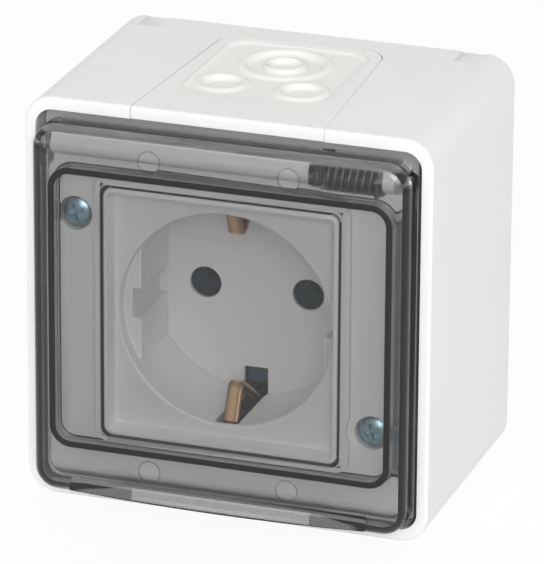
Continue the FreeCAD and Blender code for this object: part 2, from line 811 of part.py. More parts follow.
def make_insert():
    """Socket insert: a face inside a raised rim, with a round well, keyed guides at both sides,
    two pin holes, and two earth slots through floor and wall."""
    body = doc.addObject("PartDesign::Body", "insert_shell")
    half = size.collar_half_width - size.collar_wall - size.insert_gap
    below = size.collar_below - size.collar_wall - size.insert_gap
    above = size.collar_above - size.collar_wall - size.insert_gap
    face = sketch(body, "insert_outline", insert_front - size.insert_frame)
    rounded_rectangle(face, -half, half, -below, above, size.insert_corner)
    pad(body, "insert_face", face, size.insert_frame)
    round_edges(body, "insert_edges", size.edge_rounding,
                lambda edge, middle: abs(middle.y + insert_front.value) < 1e-3)
    tray = sketch(body, "tray_outline", insert_front)
    edge = size.insert_rim
    rounded_rectangle(tray, edge - half, half - edge, edge - below, above - edge,
                      size.insert_corner - edge)
    pocket(body, "tray", tray, size.insert_recess)
    cup = sketch(body, "cup_outline", floor_back)
    circles(cup, size.well_radius + size.well_wall, [(0, 0)])
    pad(body, "cup", cup, insert_front - size.insert_frame - floor_back)
    well = sketch(body, "well_outline", insert_front)
    circles(well, size.well_radius, [(0, 0)])
    pocket(body, "well", well, insert_front - floor_front)
    doc.recompute()
    mouth = doc.addObject("Part::Cone", "well_mouth")
    bind(mouth, "Radius1", size.well_radius)
    bind(mouth, "Radius2", size.well_radius + size.well_chamfer)
    bind(mouth, "Height", size.well_chamfer)
    mouth.Placement = FreeCAD.Placement(vector(0, 0, 0), FreeCAD.Rotation(vector(1, 0, 0), 90))
    bind(mouth, "Placement.Base.y", size.well_chamfer - insert_face)
    solids = [without("insert_chamfered", body, [mouth])]
    for side in (-1, 1):
        near, far = size.guide_half_gap, size.well_radius + size.well_wall / 2
        left, right = (near, far) if side > 0 else (-far, -near)
        disc = rod("guide_disc_%d" % (side + 1), size.well_radius + size.well_wall / 2, 0, 0,
                   floor_front - 0.5, rim - size.guide_step)
        slab = block("guide_slab_%d" % (side + 1), left, right, floor_front - 0.5,
                     rim - size.guide_step, -size.guide_half_tall, size.guide_half_tall)
        mid = size.guide_half_gap + size.guide_groove_depth
        left, right = (near, mid) if side > 0 else (-mid, -near)
        groove = block("guide_groove_%d" % (side + 1), left, right, floor_front,
                       rim, -size.guide_groove / 2, size.guide_groove / 2)
        guide = overlap("guide_%d" % (side + 1), disc, slab)
        solids.append(without("guide_cut_%d" % (side + 1), guide, [groove]))
    near = (size.well_radius + size.well_wall / 4) * 0.7071
    far = near + size.hook_reach * 3
    hook_top = insert_seat - size.web_thickness - size.insert_play
    for index, (side_x, side_z) in enumerate([(-1, -1), (-1, 1), (1, -1), (1, 1)]):
        left, right = (near, far) if side_x > 0 else (-far, -near)
        low, high = (near, far) if side_z > 0 else (-far, -near)
        disc = rod("hook_disc_%d" % index, size.well_radius + size.well_wall + size.hook_reach, 0, 0,
                   hook_top - size.hook_tall, hook_top)
        corner = block("hook_block_%d" % index, left, right, hook_top - size.hook_tall, hook_top,
                       low, high)
        solids.append(overlap("hook_%d" % index, disc, corner))
    shell = joined_solids("insert_solid", solids)
    tools = []
    for side in (-1, 1):
        tools.append(rod("pin_hole_%d" % (side + 1), size.pin_hole_radius,
                         size.pin_spacing * side / 2, 0, floor_back - 1, floor_front + 1))
        far = size.well_radius + size.well_wall + 1
        low, high = (size.slot_inner, far) if side > 0 else (-far, -size.slot_inner)
        tools.append(block("earth_slot_%d" % (side + 1), -size.slot_width / 2, size.slot_width / 2,
                           floor_back - 1, rim - size.slot_front, low, high))
    for index, (x, z) in enumerate(carrier_screw_places):
        tools.append(rod("insert_pilot_%d" % index, size.carrier_screw_radius, x, z, floor_back - 1,
                         floor_back + size.carrier_screw_bite))
    return keep("socket_insert", without("socket_insert_cut", shell, tools))


def make_carrier():
    """Moulded contact carrier: a round block behind the well with bores for the sleeves and
    slots for the legs of the earth bracket."""
    disc = rod("carrier_disc", size.carrier_radius, 0, 0, carrier_back, floor_back)
    tools = []
    for side in (-1, 1):
        tools.append(rod("sleeve_bore_%d" % (side + 1),
                         size.sleeve_bore + size.sleeve_wall + size.sleeve_gap,
                         size.pin_spacing * side / 2, 0, carrier_back - 1, floor_back + 1))
        near = size.clip_root - size.clip_thickness / 2 - size.clip_bend * 1.6
        low, high = (near, size.carrier_radius + 1) if side > 0 else (-size.carrier_radius - 1, -near)
        tools.append(block("leg_slot_%d" % (side + 1), -size.slot_width / 2, size.slot_width / 2,
                           carrier_back - 1, floor_back + 1, low, high))
    for index, (x, z) in enumerate(carrier_screw_places):
        tools.append(rod("carrier_hole_%d" % index, size.carrier_screw_radius, x, z,
                         carrier_back - 1, floor_back + 1))
    return keep("contact_carrier", without("contact_carrier_cut", disc, tools))


def make_contact(label, side):
    """Line contact: a brass sleeve for the pin with a strip that runs down to its clamp."""
    x = size.pin_spacing * side / 2
    strip_back = carrier_back - size.strip_thickness
    tube = rod(label + "_tube", size.sleeve_bore + size.sleeve_wall, x, 0, strip_back,
               floor_back - size.sleeve_sink)
    half = size.strip_width / 2
    strip = block(label + "_strip", x - half, x + half, strip_back, carrier_back,
                  -(size.clamp_drop + size.clamp_side / 2), 0)
    bore = rod(label + "_bore", size.sleeve_bore, x, 0, strip_back - 1, floor_back + 1)
    return keep(label, without(label + "_cut", joined_solids(label + "_solid", [tube, strip]),
                               [bore]))


def make_clamp(label, x):
    """Brass terminal block on the back of a strip, with a bore for the wire and one for its screw."""
    high = carrier_back - size.strip_thickness
    low = high - size.clamp_side
    half = size.clamp_side / 2
    x = term(x)
    bottom, top = -(size.clamp_drop + half), -(size.clamp_drop - half)
    cube = block(label + "_block", x - half, x + half, low, high, bottom, top)
    wire = upright(label + "_wire_bore", size.clamp_bore, x, high - half, bottom - 1, top + 1)
    hole = rod(label + "_screw_bore", size.clamp_screw_radius, x, -size.clamp_drop, low - 1,
               high - half)
    return keep(label, without(label + "_cut", cube, [wire, hole]))


def backed(shape, x, height, z):
    """Turn a solid made along Z so that it points at the wall from a height."""
    shape.rotate(vector(0, 0, 0), vector(1, 0, 0), -90)
    shape.translate(vector(x, -float(height), z))
    return shape


def make_terminal_screws():
    """Three cross-recess clamp screws, driven from the wall side."""
    seat = carrier_back - size.strip_thickness - size.clamp_side
    length = float(size.clamp_side) / 2 - float(size.clamp_bore) * 0.5
    screws = []
    for place in (-1, 0, 1):
        solid = screw_solid(float(size.clamp_screw_head), float(size.clamp_screw_rise),
                            float(size.clamp_screw_radius), length)
        screws.append(backed(solid, size.pin_spacing * place / 2, seat, -size.clamp_drop))
    return keep("terminal_screws", plain_feature("terminal_screws", Part.makeCompound(screws)))


def make_carrier_screws():
    """Two screws that hold the contact carrier to the back of the well."""
    length = float(size.carrier_thickness + size.carrier_screw_bite) - 0.5
    screws = []
    for x, z in carrier_screw_places:
        solid = screw_solid(float(size.carrier_screw_head), float(size.carrier_screw_rise),
                            float(size.carrier_screw_radius), length)
        screws.append(backed(solid, x, carrier_back, z))
    return keep("carrier_screws", plain_feature("carrier_screws", Part.makeCompound(screws)))


def make_earth_bracket():
    """Earth contact: one brass strip across the back of the carrier whose two ends come forward
    through the slots and bend into spring clips at the top and bottom of the well."""
    def at_depth(depth, z):
        return vector(0, -float(rim - depth), z)
    back = -float(carrier_back - size.clip_thickness / 2)
    root = float(size.clip_root)
    peak = float(size.clip_reach) - float(size.clip_thickness) * 0.4
    half = [at_depth(size.clip_tip_depth, root - 0.2), at_depth(size.clip_peak_depth, peak),
            at_depth(size.clip_root_depth, root), vector(0, back, root)]
    mirrored = [vector(0, point.y, -point.z) for point in reversed(half)]
    side = float(size.clip_width) / 2
    solid = bent_strip(half + mirrored, float(size.clip_bend), float(size.clip_thickness), -side, side)
    return keep("earth_bracket", plain_feature("earth_bracket", solid))


def arc_prism(start, crest, end, far_side, sweep):
    """A prism whose section is an arc through three points, closed by two far corners."""
    arc = Part.Arc(start, crest, end).toShape()
    rest = Part.makePolygon([end, end + far_side, start + far_side, start])
    return Part.Face(Part.Wire([arc] + rest.Edges)).extrude(sweep)


def make_lip():
    """Finger lip of the lid: a wedge along the lower edge that swells forwards and downwards
    along flat arcs."""
    reach = float(size.lip_half_width)
    front = float(lid_front)
    out = float(size.lip_projection)
    root = float(size.lid_front_wall)
    below = -float(size.lip_below)
    edge = below + float(size.lip_edge)
    top = edge + float(size.lip_rise)
    profile = [vector(-reach, -front, top), vector(-reach, -front - out, edge),
               vector(-reach, -front - out, below), vector(-reach, -front + root * 2, below),
               vector(-reach, -front + root, top), vector(-reach, -front, top)]
    wedge = Part.Face(Part.makePolygon(profile)).extrude(vector(reach * 2, 0, 0))
    plan = arc_prism(vector(-reach, -front, below - 1), vector(0, -front - out, below - 1),
                     vector(reach, -front, below - 1), vector(0, root * 2, 0),
                     vector(0, 0, top - below + 2))
    ends = -float(size.lid_below) + float(size.lid_edge_rounding) * 0.3
    face = arc_prism(vector(-reach, -front - out - 1, ends), vector(0, -front - out - 1, below),
                     vector(reach, -front - out - 1, ends), vector(0, 0, top - ends + 1),
                     vector(0, out + root * 2 + 2, 0))
    return plain_feature("lip", wedge.common(plan).common(face))


def make_lid():
    """Clear smoked lid: a shallow tray with rounded edges, a sealing rib, an ear for each hinge
    pin inside its side walls, a knuckle beside the spring, ejector marks and a finger lip."""
    body = doc.addObject("PartDesign::Body", "lid_shell")
    outline = sketch(body, "lid_outline", rim - size.lid_reach)
    half = size.lid_half_width
    rounded_rectangle(outline, -half, half, -size.lid_below, size.lid_above, size.lid_corner)
    pad(body, "lid_block", outline, lid_front - rim + size.lid_reach)
    round_edges(body, "lid_edges", size.lid_edge_rounding,
                lambda edge, middle: abs(middle.y + lid_front.value) < 1e-3)
    hollow = sketch(body, "lid_hollow_outline", rim - size.lid_reach)
    wall = size.lid_side_wall
    rounded_rectangle(hollow, -(half - wall), half - wall, -(size.lid_below - wall),
                      size.lid_above - wall, size.lid_corner - wall)
    pocket(body, "lid_hollow", hollow, lid_inside - rim + size.lid_reach, reverse=True)
    rib = sketch(body, "rib_outline", deck_front + size.rib_clearance)
    ring_outlines(rib, 0)
    pad(body, "sealing_rib", rib, lid_inside - deck_front - size.rib_clearance)
    doc.recompute()
    solids = [body, make_lip()]
    left, right = size.knuckle_start, size.knuckle_start + size.knuckle_width
    solids.append(cross_rod("knuckle", size.ear_radius, left, right, hinge_height, hinge_z))
    solids.append(block("knuckle_web", left, right, hinge_height, lid_inside,
                        hinge_z - size.knuckle_below, hinge_z + size.ear_radius))
    for side in (-1, 1):
        near = size.deck_half_width + size.ear_clearance
        left, right = (near, half) if side > 0 else (-half, -near)
        solids.append(cross_rod("ear_%d" % (side + 1), size.ear_radius, left, right, hinge_height,
                                hinge_z))
    shell = joined_solids("lid_solid", solids)
    tools = [cross_rod("ear_bore", size.pin_radius + size.pin_running, -(half - size.ear_wall),
                       half - size.ear_wall, hinge_height, hinge_z)]
    for index, (side_x, side_z) in enumerate([(-1, 1), (1, 1), (-1, -1), (1, -1)]):
        tools.append(rod("ejector_mark_%d" % index, size.ejector_radius, size.ejector_x * side_x,
                         size.ejector_z * side_z, lid_inside - 1, lid_inside + size.ejector_depth))
    return keep("lid", without("lid_cut", shell, tools))


def make_lid_gasket():
    """Rubber ring in a groove of the front plate, which the rib of the lid closes on."""
    body = doc.addObject("PartDesign::Body", "lid_gasket")
    outline = sketch(body, "gasket_outline", deck_front - size.gasket_thickness)
    ring_outlines(outline, size.gasket_margin)
    pad(body, "gasket_ring", outline, size.gasket_thickness)
    return keep("lid_gasket", body)


def make_hinge_pins():
    """Steel pins pressed into the barrel and the lug: a short one, and a long one that carries
    the spring."""
    tip = size.lid_half_width - size.ear_wall - size.pin_tip_gap
    inner = barrel_side - size.pin_bite
    keep("left_hinge_pin", cross_rod("left_pin", size.pin_radius, -tip, -inner, hinge_height, hinge_z))
    keep("right_hinge_pin", cross_rod("right_pin", size.pin_radius, size.barrel_end - size.pin_bite,
                                      tip, hinge_height, hinge_z))


def make_spring():
    """Torsion spring round the long pin: close turns, one leg up to the lid, one down to the deck."""
    start, end = float(size.spring_start), float(size.spring_end)
    radius, wire = float(size.spring_mean_radius), float(size.spring_wire) / 2
    turns = float(size.spring_turns)
    helix = Part.makeHelix((end - start) / turns, end - start, radius)
    profile = Part.Wire(Part.Circle(vector(radius, 0, 0), vector(0, 1, 0), wire).toShape())
    coil = Part.Wire(helix.Edges).makePipeShell([profile], True, True)
    leg_up = float(size.lid_above - size.lid_side_wall - hinge_z) - 0.15
    leg_down = float(hinge_z - size.deck_above)
    coil.rotate(vector(0, 0, 0), vector(0, 1, 0), 90)
    coil.rotate(vector(0, 0, 0), vector(1, 0, 0), 90)
    coil.translate(vector(start, 0, 0))
    up = Part.makeCylinder(wire, leg_up, vector(start, -radius, 0), vector(0, 0, 1))
    down = Part.makeCylinder(wire, leg_down, vector(end, -radius, 0), vector(0, 0, -1))
    solid = Part.Solid(coil) if coil.ShapeType == "Shell" else coil
    solid = solid.fuse([up, down])
    solid.translate(vector(0, -float(hinge_height), hinge_z))
    return keep("lid_spring", plain_feature("lid_spring", solid))


make_housing()
for position, side in (("top", 1), ("bottom", -1)):
    make_entry_plate(position + "_entry_plate", side)
    make_membrane(position + "_membrane", side)
make_front_plate()
make_plate_seal()
make_plate_screws()
make_insert()
make_carrier()
make_contact("live_contact", -1)
make_contact("neutral_contact", 1)
make_earth_bracket()
make_clamp("live_clamp", -size.pin_spacing / 2)
make_clamp("neutral_clamp", size.pin_spacing / 2)
make_clamp("earth_clamp", 0)
make_terminal_screws()
make_carrier_screws()
make_lid()
make_lid_gasket()
make_hinge_pins()
make_spring()
doc.recompute()

for item in doc.Objects:
    if "Invalid" in item.State or "Error" in item.State:
        raise ValueError("%s failed: %s" % (item.Label, item.State))
for label, item in nodes.items():
    if item.Shape.isNull() or not item.Shape.isValid() or not item.Shape.Solids:
        raise ValueError("%s has no sound solid" % label)
for label, item in nodes.items():
    item.Shape.exportStep("parts/%s.step" % label)
    bounds = item.Shape.BoundBox
    print("%-20s solids %d volume %9.2f  x %7.2f %7.2f  y %7.2f %7.2f  z %7.2f %7.2f" % (
        label, len(item.Shape.Solids), item.Shape.Volume, bounds.XMin, bounds.XMax, bounds.YMin,
        bounds.YMax, bounds.ZMin, bounds.ZMax))
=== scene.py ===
import json
import math

import bmesh
import bpy
from mathutils import Matrix, Vector

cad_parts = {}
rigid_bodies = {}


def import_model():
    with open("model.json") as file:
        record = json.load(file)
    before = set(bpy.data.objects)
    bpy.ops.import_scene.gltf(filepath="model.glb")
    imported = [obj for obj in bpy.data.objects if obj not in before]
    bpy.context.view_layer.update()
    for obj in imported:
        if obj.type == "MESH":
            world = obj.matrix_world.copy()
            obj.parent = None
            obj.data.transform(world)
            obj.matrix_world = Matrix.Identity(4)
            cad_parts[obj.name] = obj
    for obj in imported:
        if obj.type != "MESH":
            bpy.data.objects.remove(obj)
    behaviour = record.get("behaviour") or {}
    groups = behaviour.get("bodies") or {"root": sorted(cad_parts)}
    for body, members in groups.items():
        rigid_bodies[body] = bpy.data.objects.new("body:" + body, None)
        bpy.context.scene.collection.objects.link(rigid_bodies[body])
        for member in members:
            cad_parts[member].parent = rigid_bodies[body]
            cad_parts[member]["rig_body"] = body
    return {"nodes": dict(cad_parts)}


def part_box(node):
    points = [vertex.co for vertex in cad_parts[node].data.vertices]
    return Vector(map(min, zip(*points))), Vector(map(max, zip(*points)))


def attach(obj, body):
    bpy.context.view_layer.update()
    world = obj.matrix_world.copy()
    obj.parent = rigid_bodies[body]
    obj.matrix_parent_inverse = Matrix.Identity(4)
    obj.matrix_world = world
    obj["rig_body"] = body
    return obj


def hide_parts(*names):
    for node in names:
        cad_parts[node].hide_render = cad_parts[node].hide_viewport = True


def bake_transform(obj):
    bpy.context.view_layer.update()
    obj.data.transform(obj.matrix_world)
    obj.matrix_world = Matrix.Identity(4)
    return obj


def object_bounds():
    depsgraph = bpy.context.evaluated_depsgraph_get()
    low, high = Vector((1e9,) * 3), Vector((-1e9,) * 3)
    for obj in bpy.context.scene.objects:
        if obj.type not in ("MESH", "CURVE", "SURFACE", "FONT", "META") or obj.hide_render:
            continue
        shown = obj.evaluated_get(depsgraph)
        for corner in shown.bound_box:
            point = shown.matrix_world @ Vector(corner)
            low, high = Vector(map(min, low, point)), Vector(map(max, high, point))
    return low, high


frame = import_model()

cad_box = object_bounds()
nodes = frame["nodes"]

# Housing
# The box is one white moulding with a satin, finely spark-eroded skin, and the mould rounds
# every outer edge. The wall inside the rim is darkened with painted shade, deepest in the gap
# at the right.
WHITE_MOULDING = (0.80, 0.80, 0.785)
RIM_OPENING = (0.0358, 0.0358)
RIM_STARTS = (-0.0487, -0.0475)
RIM_ENDS = (-0.0420, -0.0410)
RIM_SHADE = (0.55, 0.55, 0.55)
RIGHT_GAP = (0.0334, 0.0336)
RIGHT_SHADE = (0.16, 0.16, 0.16)


def new_material(name):
    material = bpy.data.materials.new(name)
    material.use_nodes = True
    shader = material.node_tree.nodes["Principled BSDF"]
    return material, material.node_tree, shader


def new_object(name, data):
    item = bpy.data.objects.new(name, data)
    bpy.context.scene.collection.objects.link(item)
    return item


def add_node(tree, kind, **settings):
    """One node, with its sockets or its own settings set by name."""
    node = tree.nodes.new(kind)
    for name, value in settings.items():
        if name in node.inputs:
            node.inputs[name].default_value = value
        else:
            setattr(node, name, value)
    return node


def object_place(tree):
    return add_node(tree, "ShaderNodeTexCoord").outputs["Object"]


def object_axes(tree):
    axes = add_node(tree, "ShaderNodeSeparateXYZ")
    tree.links.new(object_place(tree), axes.inputs[0])
    return axes.outputs


def worked(tree, operation, first, *others):
    """Math nodes in a row. A number stays on its node, and a socket is linked to it."""
    result = first
    for other in others or (0.0,):
        node = add_node(tree, "ShaderNodeMath", operation=operation)
        for place, value in enumerate((result, other)):
            if isinstance(value, (int, float)):
                node.inputs[place].default_value = value
            else:
                tree.links.new(value, node.inputs[place])
        result = node.outputs[0]
    return result


def ramped(tree, value, ends, first=0.0, last=1.0):
    """Goes evenly from the first to the last level while the value passes the two ends."""
    node = add_node(tree, "ShaderNodeMapRange")
    for name, number in zip(("From Min", "From Max", "To Min", "To Max"), (*ends, first, last)):
        node.inputs[name].default_value = number
    tree.links.new(value, node.inputs["Value"])
    return node.outputs["Result"]


def beyond(tree, axes, half_width, half_height):
    """How far a point lies outside a rectangle about the middle of the face, in metres."""
    beside = worked(tree, "SUBTRACT", worked(tree, "ABSOLUTE", axes["X"]), half_width)
    above = worked(tree, "SUBTRACT", worked(tree, "ABSOLUTE", axes["Z"]), half_height)
    return worked(tree, "MAXIMUM", beside, above)


def within(tree, axes, half_width, half_height, soft):
    """1 inside the rectangle, and 0 past its soft edge."""
    return ramped(tree, beyond(tree, axes, half_width, half_height), (0.0, soft), 1.0, 0.0)


def noisy(tree, vector, scale, detail=3.0, rough=0.6):
    node = add_node(tree, "ShaderNodeTexNoise", Scale=scale, Detail=detail, Roughness=rough)
    tree.links.new(vector, node.inputs["Vector"])
    return node.outputs["Fac"]


def grain(tree, shader, scale, strength, height):
    """A fine moulded skin: noise at the size of the mould's spark erosion drives the bump."""
    bump = add_node(tree, "ShaderNodeBump", Strength=strength, Distance=height)
    tree.links.new(noisy(tree, object_place(tree), scale), bump.inputs["Height"])
    tree.links.new(bump.outputs["Normal"], shader.inputs["Normal"])


def uneven(tree, socket, scale, low, high):
    """Lets one value of a shader wander a little over the surface."""
    noise = noisy(tree, object_place(tree), scale, detail=4.0, rough=0.55)
    tree.links.new(ramped(tree, noise, (0.3, 0.7), low, high), socket)


def tinted(tree, shader, scale, first, second):
    """Mixes two close colours over the surface in soft clouds."""
    ramp = add_node(tree, "ShaderNodeValToRGB")
    for stop, place, color in zip(ramp.color_ramp.elements, (0.35, 0.65), (first, second)):
        stop.position = place
        stop.color = (*color, 1)
    tree.links.new(noisy(tree, object_place(tree), scale, rough=0.5), ramp.inputs["Fac"])
    tree.links.new(ramp.outputs["Color"], shader.inputs["Base Color"])


def shade(color, factor):
    return tuple(channel * factor for channel in color)


def shaded_where(tree, mask, tone):
    """Multiplies the base colour by another where the mask is 1."""
    base = tree.nodes["Principled BSDF"].inputs["Base Color"]
    mix = add_node(tree, "ShaderNodeMix", data_type="RGBA", blend_type="MULTIPLY")
    mix.inputs["B"].default_value = (*tone, 1)
    tree.links.new(mask, mix.inputs["Factor"])
    tree.links.new(base.links[0].from_socket, mix.inputs["A"])
    tree.links.new(mix.outputs["Result"], base)


def moulding_material(name, color, rough=0.42):
    material, tree, shader = new_material(name)
    shader.inputs["IOR"].default_value = 1.46
    tinted(tree, shader, scale=60, first=shade(color, 0.985), second=color)
    uneven(tree, shader.inputs["Roughness"], scale=900, low=rough - 0.05, high=rough + 0.05)
    grain(tree, shader, scale=5200, strength=0.10, height=0.00003)
    return material


def dressed(name, bevel, segments=2, angle=28, reshape=None):
    """A merged copy of a CAD node with its hard edges eased, in place of the node. A reshape
    takes the place of a corner and gives its new place."""
    source = nodes[name]
    mesh = source.data.copy()
    piece = new_object(name + "_moulding", mesh)
    shape = bmesh.new()
    shape.from_mesh(mesh)
    bmesh.ops.remove_doubles(shape, verts=shape.verts, dist=2e-6)
    bmesh.ops.dissolve_limit(shape, angle_limit=math.radians(0.6), verts=shape.verts,
                             edges=shape.edges)
    if reshape:
        for corner in shape.verts:
            corner.co = reshape(corner.co.copy())
    for face in shape.faces:
        face.smooth = True
    shape.to_mesh(mesh)
    shape.free()
    ease = piece.modifiers.new("ease", "BEVEL")
    ease.width = bevel
    ease.segments = segments
    ease.limit_method = "ANGLE"
    ease.angle_limit = math.radians(angle)
    ease.harden_normals = True
    ease.use_clamp_overlap = True
    mesh.set_sharp_from_angle(angle=math.radians(angle))
    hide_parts(name)
    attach(piece, source["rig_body"])
    return piece


def made_of(piece, material):
    piece.data.materials.clear()
    piece.data.materials.append(material)


def finish_with(piece, material):
    made_of(piece, material)


housing_moulding = moulding_material("housing_moulding", WHITE_MOULDING)
tree = housing_moulding.node_tree
axes = object_axes(tree)
inner_wall = worked(tree, "MULTIPLY", within(tree, axes, *RIM_OPENING, soft=0.0001),
                    ramped(tree, axes["Y"], RIM_STARTS),
                    ramped(tree, axes["Y"], RIM_ENDS, 1.0, 0.0))
# Painted shade: the base colour of the wall inside the rim is darkened, most at the right.
shaded_where(tree, inner_wall, RIM_SHADE)
right_wall = worked(tree, "MULTIPLY", inner_wall, ramped(tree, axes["X"], RIGHT_GAP))
shaded_where(tree, right_wall, RIGHT_SHADE)
housing = dressed("housing", bevel=0.00018)
finish_with(housing, housing_moulding)

# Entry plates
# The cable entries at the top and bottom are closed by flush plates of the same white plastic,
# slid in from the rim, so that a hairline joint runs round them and through the rim.
white_moulding = moulding_material("white_moulding", WHITE_MOULDING)
for position in ("top", "bottom"):
    plate = dressed(position + "_entry_plate", bevel=0.00015)
    finish_with(plate, white_moulding)

# Entry membranes
# Soft, slightly greener skins that fill the windows of the entry plates, flush at their edge.
# Thick round beads ring the shallow dishes that are cut through for a cable.
MEMBRANE = (0.82, 0.83, 0.80)
SKIN_HALF_WIDTH = 0.01358
SKIN_DEPTHS = (0.00722, 0.03858)
SKIN_CORNER = 0.0050
SKIN_STEP = 0.00032
SKIN_PULLED_IN = 0.8 * SKIN_STEP
SKIN_THICKNESS = 0.0009
SKIN_LEVEL = -0.00055
DISH_LEVEL = -0.00110
BEAD_TOP = -0.00002
BEAD_ROUNDING = 1.3
SKIN_EDGE_LEVEL = -0.00010
SKIN_EDGE_WIDTH = 0.0014
MEMBRANE_BEADS = [(0.0, 0.0176, 0.00765, 0.00115), (0.0, 0.0176, 0.00335, 0.00085),
                  (-0.0075, 0.0305, 0.00410, 0.00105), (0.0075, 0.0305, 0.00410, 0.00105)]


def eased(value):
    value = min(max(value, 0.0), 1.0)
    return value * value * (3 - 2 * value)


def skin_outline(x, depth):
    """Distance inside the rounded outline of the skin, and the way to its nearest edge."""
    middle = (SKIN_DEPTHS[0] + SKIN_DEPTHS[1]) / 2
    half = (SKIN_DEPTHS[1] - SKIN_DEPTHS[0]) / 2
    across = abs(x) - (SKIN_HALF_WIDTH - SKIN_CORNER)
    along = abs(depth - middle) - (half - SKIN_CORNER)
    way = Vector((math.copysign(max(across, 0), x),
                  math.copysign(max(along, 0), depth - middle)))
    inside = SKIN_CORNER - way.length - min(max(across, along), 0)
    return inside, way.normalized() if way.length else Vector((0, 0))


def skin_height(x, depth):
    """Level of the skin under the plate's face: beads, the dishes inside them and a soft edge."""
    dished, bead = 0.0, 0.0
    for centre_x, centre_depth, radius, half in MEMBRANE_BEADS:
        off = math.hypot(x - centre_x, depth - centre_depth) - radius
        if off < half:
            dished = dished or eased(-off / half)
            slope = max(min(off / half, 1), -1) * math.pi / 2
            bead = max(bead, math.cos(slope) ** BEAD_ROUNDING)
    level = SKIN_LEVEL + (DISH_LEVEL - SKIN_LEVEL) * dished
    level += (BEAD_TOP - level) * bead
    inside, _ = skin_outline(x, depth)
    return SKIN_EDGE_LEVEL + (level - SKIN_EDGE_LEVEL) * eased(inside / SKIN_EDGE_WIDTH)


def make_membrane(name, top, turn):
    """A grid of corners cut to the skin's outline, with the soft wall's thickness behind it."""
    shape = bmesh.new()
    columns = round(2 * SKIN_HALF_WIDTH / SKIN_STEP)
    rows = round((SKIN_DEPTHS[1] - SKIN_DEPTHS[0]) / SKIN_STEP)
    grid = {}
    for column in range(columns + 1):
        for row in range(rows + 1):
            x = -SKIN_HALF_WIDTH + 2 * SKIN_HALF_WIDTH * column / columns
            depth = SKIN_DEPTHS[0] + (SKIN_DEPTHS[1] - SKIN_DEPTHS[0]) * row / rows
            inside, way = skin_outline(x, depth)
            if inside < -SKIN_PULLED_IN:
                continue
            if inside < 0:
                x, depth = x + way.x * inside, depth + way.y * inside
            corner = Vector((x, -depth, top + skin_height(x, depth)))
            grid[column, row] = shape.verts.new(turn @ corner)
    for column in range(columns):
        for row in range(rows):
            ring = [(column, row + 1), (column + 1, row + 1), (column + 1, row), (column, row)]
            corners = [grid[place] for place in ring if place in grid]
            if len(corners) > 2:
                shape.faces.new(corners).smooth = True
    mesh = bpy.data.meshes.new(name + "_skin")
    shape.to_mesh(mesh)
    shape.free()
    piece = new_object(name + "_skin", mesh)
    wall = piece.modifiers.new("wall", "SOLIDIFY")
    wall.thickness = SKIN_THICKNESS
    wall.offset = -1
    return piece


membrane_skin = moulding_material("membrane_skin", MEMBRANE, rough=0.5)
plate_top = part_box("top_entry_plate")[1][2]
for name, turn in (("top_membrane", Matrix.Identity(3)),
                   ("bottom_membrane", Matrix.Rotation(math.pi, 3, "Y"))):
    skin = make_membrane(name, plate_top, turn)
    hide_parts(name)
    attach(skin, nodes[name]["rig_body"])
    finish_with(skin, membrane_skin)

# Front plate
# White moulding inside the rim: the deck that the lid closes on, and the collar round the insert.
# Painted shade darkens the inner walls of the collar in the narrow gap, half darkens the moat,
# and darkens the plate's edge at the right.
PLATE_MOULDING = (0.83, 0.83, 0.82)
COLLAR_INSIDE = (0.02228, 0.02379)
COLLAR_FRONT = -0.0518
COLLAR_FLAT = 0.0003
COLLAR_SLOPE = 0.0010
GAP_STARTS = (-0.0517, -0.0514)
GAP_SHADE = (0.025, 0.050, 0.070)
MOAT_DEPTHS = (-0.0494, -0.0478)
MOAT_SHADE = (0.62, 0.62, 0.62)
HAIR = 0.00005
plate_moulding = moulding_material("plate_moulding", PLATE_MOULDING)
tree = plate_moulding.node_tree
axes = object_axes(tree)
collar_gap = worked(tree, "MULTIPLY", within(tree, axes, *COLLAR_INSIDE, soft=HAIR),
                    ramped(tree, axes["Y"], GAP_STARTS))
# Painted shade: collar gap, moat by its depth, and the plate's right edge are darkened.
shaded_where(tree, collar_gap, GAP_SHADE)
shaded_where(tree, ramped(tree, axes["Y"], MOAT_DEPTHS), MOAT_SHADE)
shaded_where(tree, ramped(tree, axes["X"], RIGHT_GAP), RIGHT_SHADE)


def sloping_collar(corner):
    """The outer edge of the collar's front slopes back to the deck."""
    outside = max(abs(corner.x) - COLLAR_INSIDE[0], abs(corner.z) - COLLAR_INSIDE[1])
    if corner.y < COLLAR_FRONT + HAIR and outside > COLLAR_FLAT:
        corner.y += COLLAR_SLOPE
    return corner


front_plate = dressed("front_plate", bevel=0.0002, reshape=sloping_collar)
finish_with(front_plate, plate_moulding)

# Socket insert
# The face and the well are one smooth moulding, a little glossier than the box. Painted shade
# darkens its outer walls, its pin holes and its slots, and painted light makes the walls of the
# rim and the well lighter, with a painted highlight line round the well's mouth.
INSERT_MOULDING = (0.83, 0.822, 0.815)
INSERT_HALF = (0.02168, 0.02320)
INSERT_FRONT = -0.0519
OUTER_WALL_EDGE = 0.00006
OUTER_WALL_STARTS = (-0.0517, -0.0513)
WELL_FLOOR = -0.0322
WELL_RADIUS = 0.01975
BEHIND_WELL = (-0.0318, -0.0312)
GUIDE_FACE = 0.0165
GUIDE_FRONT = -0.0462
GUIDE_SINK = 0.0027
TRAY_FLOOR = -0.0489
TRAY_INSIDE = (0.0204, 0.0214)
TRAY_SLOPE = (0.0004, 0.0006)
TRAY_WALL = (0.0206, 0.0218)
TRAY_WALL_EDGE = 0.0009
TRAY_WALL_REACH = 0.0014
MOUTH_RADIUS = 0.0199
MOUTH_REACH = 0.0002
MOUTH_DEPTH_REACH = 0.0004
WELL_WALL_REACH = 0.0001
GUIDE_WALL_REACH = 0.0002
WELL_DEPTH_REACH = 0.0078
WALL_LIGHT = (1.15, 1.15, 1.15)


